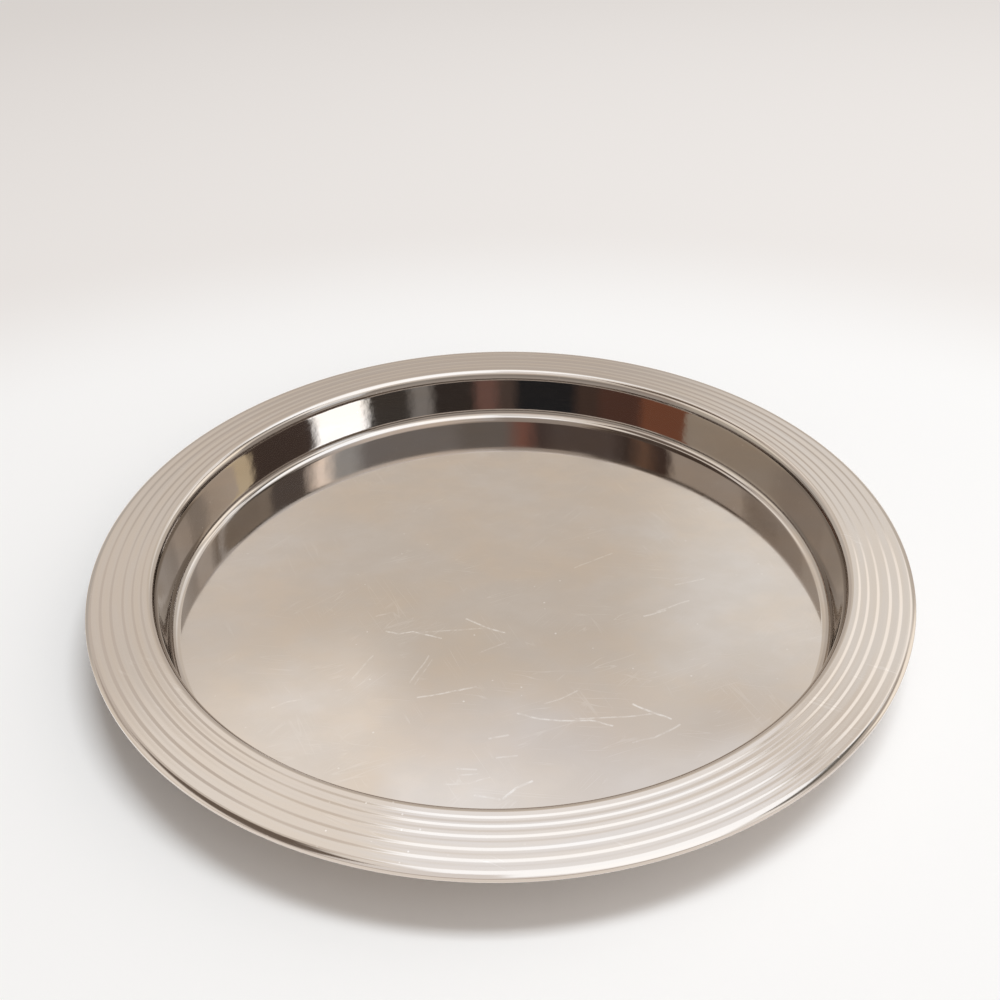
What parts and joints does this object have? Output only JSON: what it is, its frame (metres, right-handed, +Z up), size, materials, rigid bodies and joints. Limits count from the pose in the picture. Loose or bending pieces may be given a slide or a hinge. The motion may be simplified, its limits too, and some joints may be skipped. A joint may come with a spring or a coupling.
{
  "type": "round serving tray",
  "caption": "Round polished steel serving tray with a flat floor, a low steep wall and a wide rim with five groove lines, whose outer edge is rolled over a wire.",
  "frame": {"origin": "centre of the base's underside, on the surface that the tray stands on", "axes": "+Z up along the tray's axis of revolution, +Y away from the viewer, +X to the right"},
  "size_m": [0.35, 0.35, 0.0276],
  "materials": {
    "polished_steel": "polished",
    "drawn_wire": "satin"
  },
  "bodies": {
    "root": {"tray_pan": "polished_steel", "edge_wire": "drawn_wire"}
  },
  "joints": []
}
